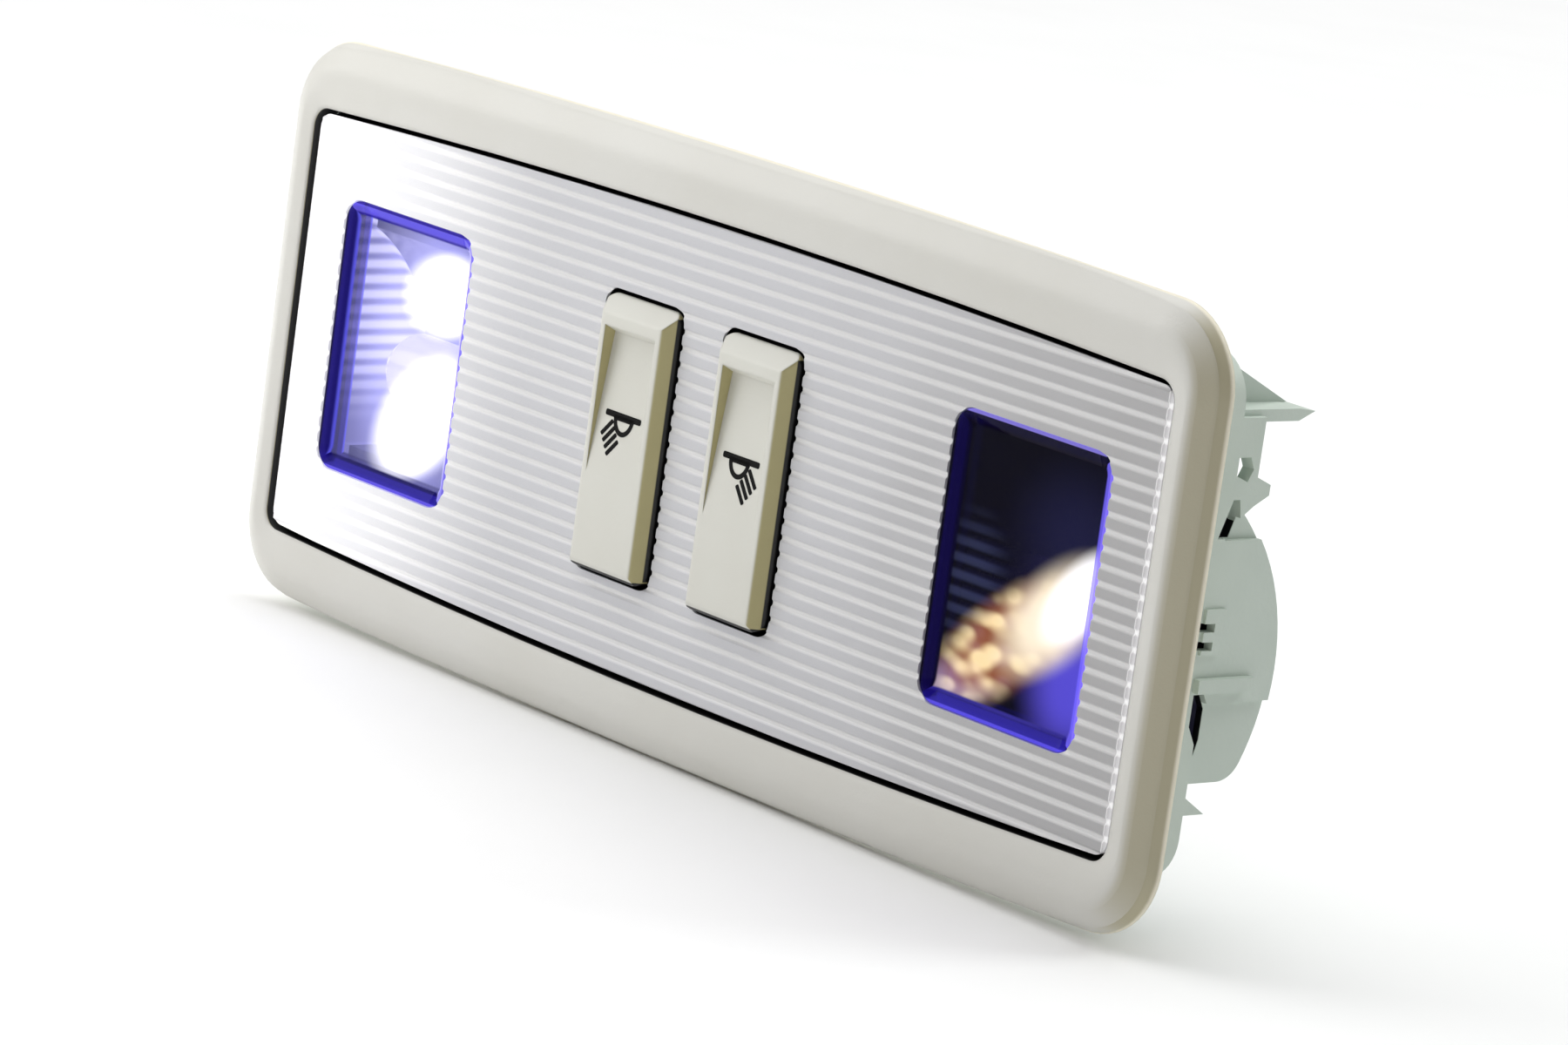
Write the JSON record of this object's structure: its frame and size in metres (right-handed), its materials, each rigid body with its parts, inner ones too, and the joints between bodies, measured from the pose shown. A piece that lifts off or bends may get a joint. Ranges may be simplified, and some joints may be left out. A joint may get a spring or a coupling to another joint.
{
  "type": "car courtesy light",
  "caption": "Roof courtesy light for a car's rear seats: a bowed bezel round a ribbed panel with reading-lamp windows, push keys and barrel-backed lamp pods.",
  "frame": {"origin": "centre of the seating plane, the bezel's rear face that lies on the roof lining", "axes": "+X along the lamp, +Y into the roof, +Z across the lamp; the face looks along -Y"},
  "size_m": [0.17, 0.0293, 0.074],
  "materials": {
    "bezel_plastic": "fine satin grain",
    "panel_plastic": "silvery translucent ribs",
    "housing_plastic": "moulded satin",
    "lens_clear": "clear moulded plastic with violet edges",
    "key_plastic": "fine satin grain",
    "reflector_metal": "vacuum metallised",
    "bulb_glass": "clear",
    "holder_plastic": "moulded",
    "switch_plastic": "moulded",
    "plunger_plastic": "moulded",
    "connector_plastic": "moulded",
    "contact_brass": "stamped sheet"
  },
  "bodies": {
    "lamp": {"bezel": "bezel_plastic", "ribbed_panel": "panel_plastic", "lamp_housing": "housing_plastic", "supply_strip": "contact_brass", "ground_strip": "contact_brass", "connector_socket": "connector_plastic", "connector_pins": "contact_brass", "left_reading_lens": "lens_clear", "left_reflector": "reflector_metal", "left_bulb": "bulb_glass", "left_bulb_holder": "holder_plastic", "left_push_switch": "switch_plastic", "left_lamp_strip": "contact_brass", "right_reading_lens": "lens_clear", "right_reflector": "reflector_metal", "right_bulb": "bulb_glass", "right_bulb_holder": "holder_plastic", "right_push_switch": "switch_plastic", "right_lamp_strip": "contact_brass"},
    "left_key": {"left_rocker_key": "key_plastic"},
    "left_plunger": {"left_switch_plunger": "plunger_plastic"},
    "right_key": {"right_rocker_key": "key_plastic"},
    "right_plunger": {"right_switch_plunger": "plunger_plastic"}
  },
  "joints": [
    {"name": "left_key_press", "type": "hinge", "parent": "lamp", "child": "left_key", "pos_m": [-0.011, 0.003, -0.0125], "axis": [-1, 0, 0], "range_deg": [0, 4], "stiffness_Nm_per_rad": 0.3, "springref_deg": -2.86},
    {"name": "left_plunger_slide", "type": "slide", "parent": "lamp", "child": "left_plunger", "axis": [0, 1, 0], "range_m": [0, 0.00135]},
    {"name": "right_key_press", "type": "hinge", "parent": "lamp", "child": "right_key", "pos_m": [0.011, 0.003, -0.0125], "axis": [-1, 0, 0], "range_deg": [0, 4], "stiffness_Nm_per_rad": 0.3, "springref_deg": -2.86},
    {"name": "right_plunger_slide", "type": "slide", "parent": "lamp", "child": "right_plunger", "axis": [0, 1, 0], "range_m": [0, 0.00135]}
  ],
  "couplings": [
    {"joint": "left_plunger_slide", "follows": "left_key_press", "m_per_rad": 0.019},
    {"joint": "right_plunger_slide", "follows": "right_key_press", "m_per_rad": 0.019}
  ]
}
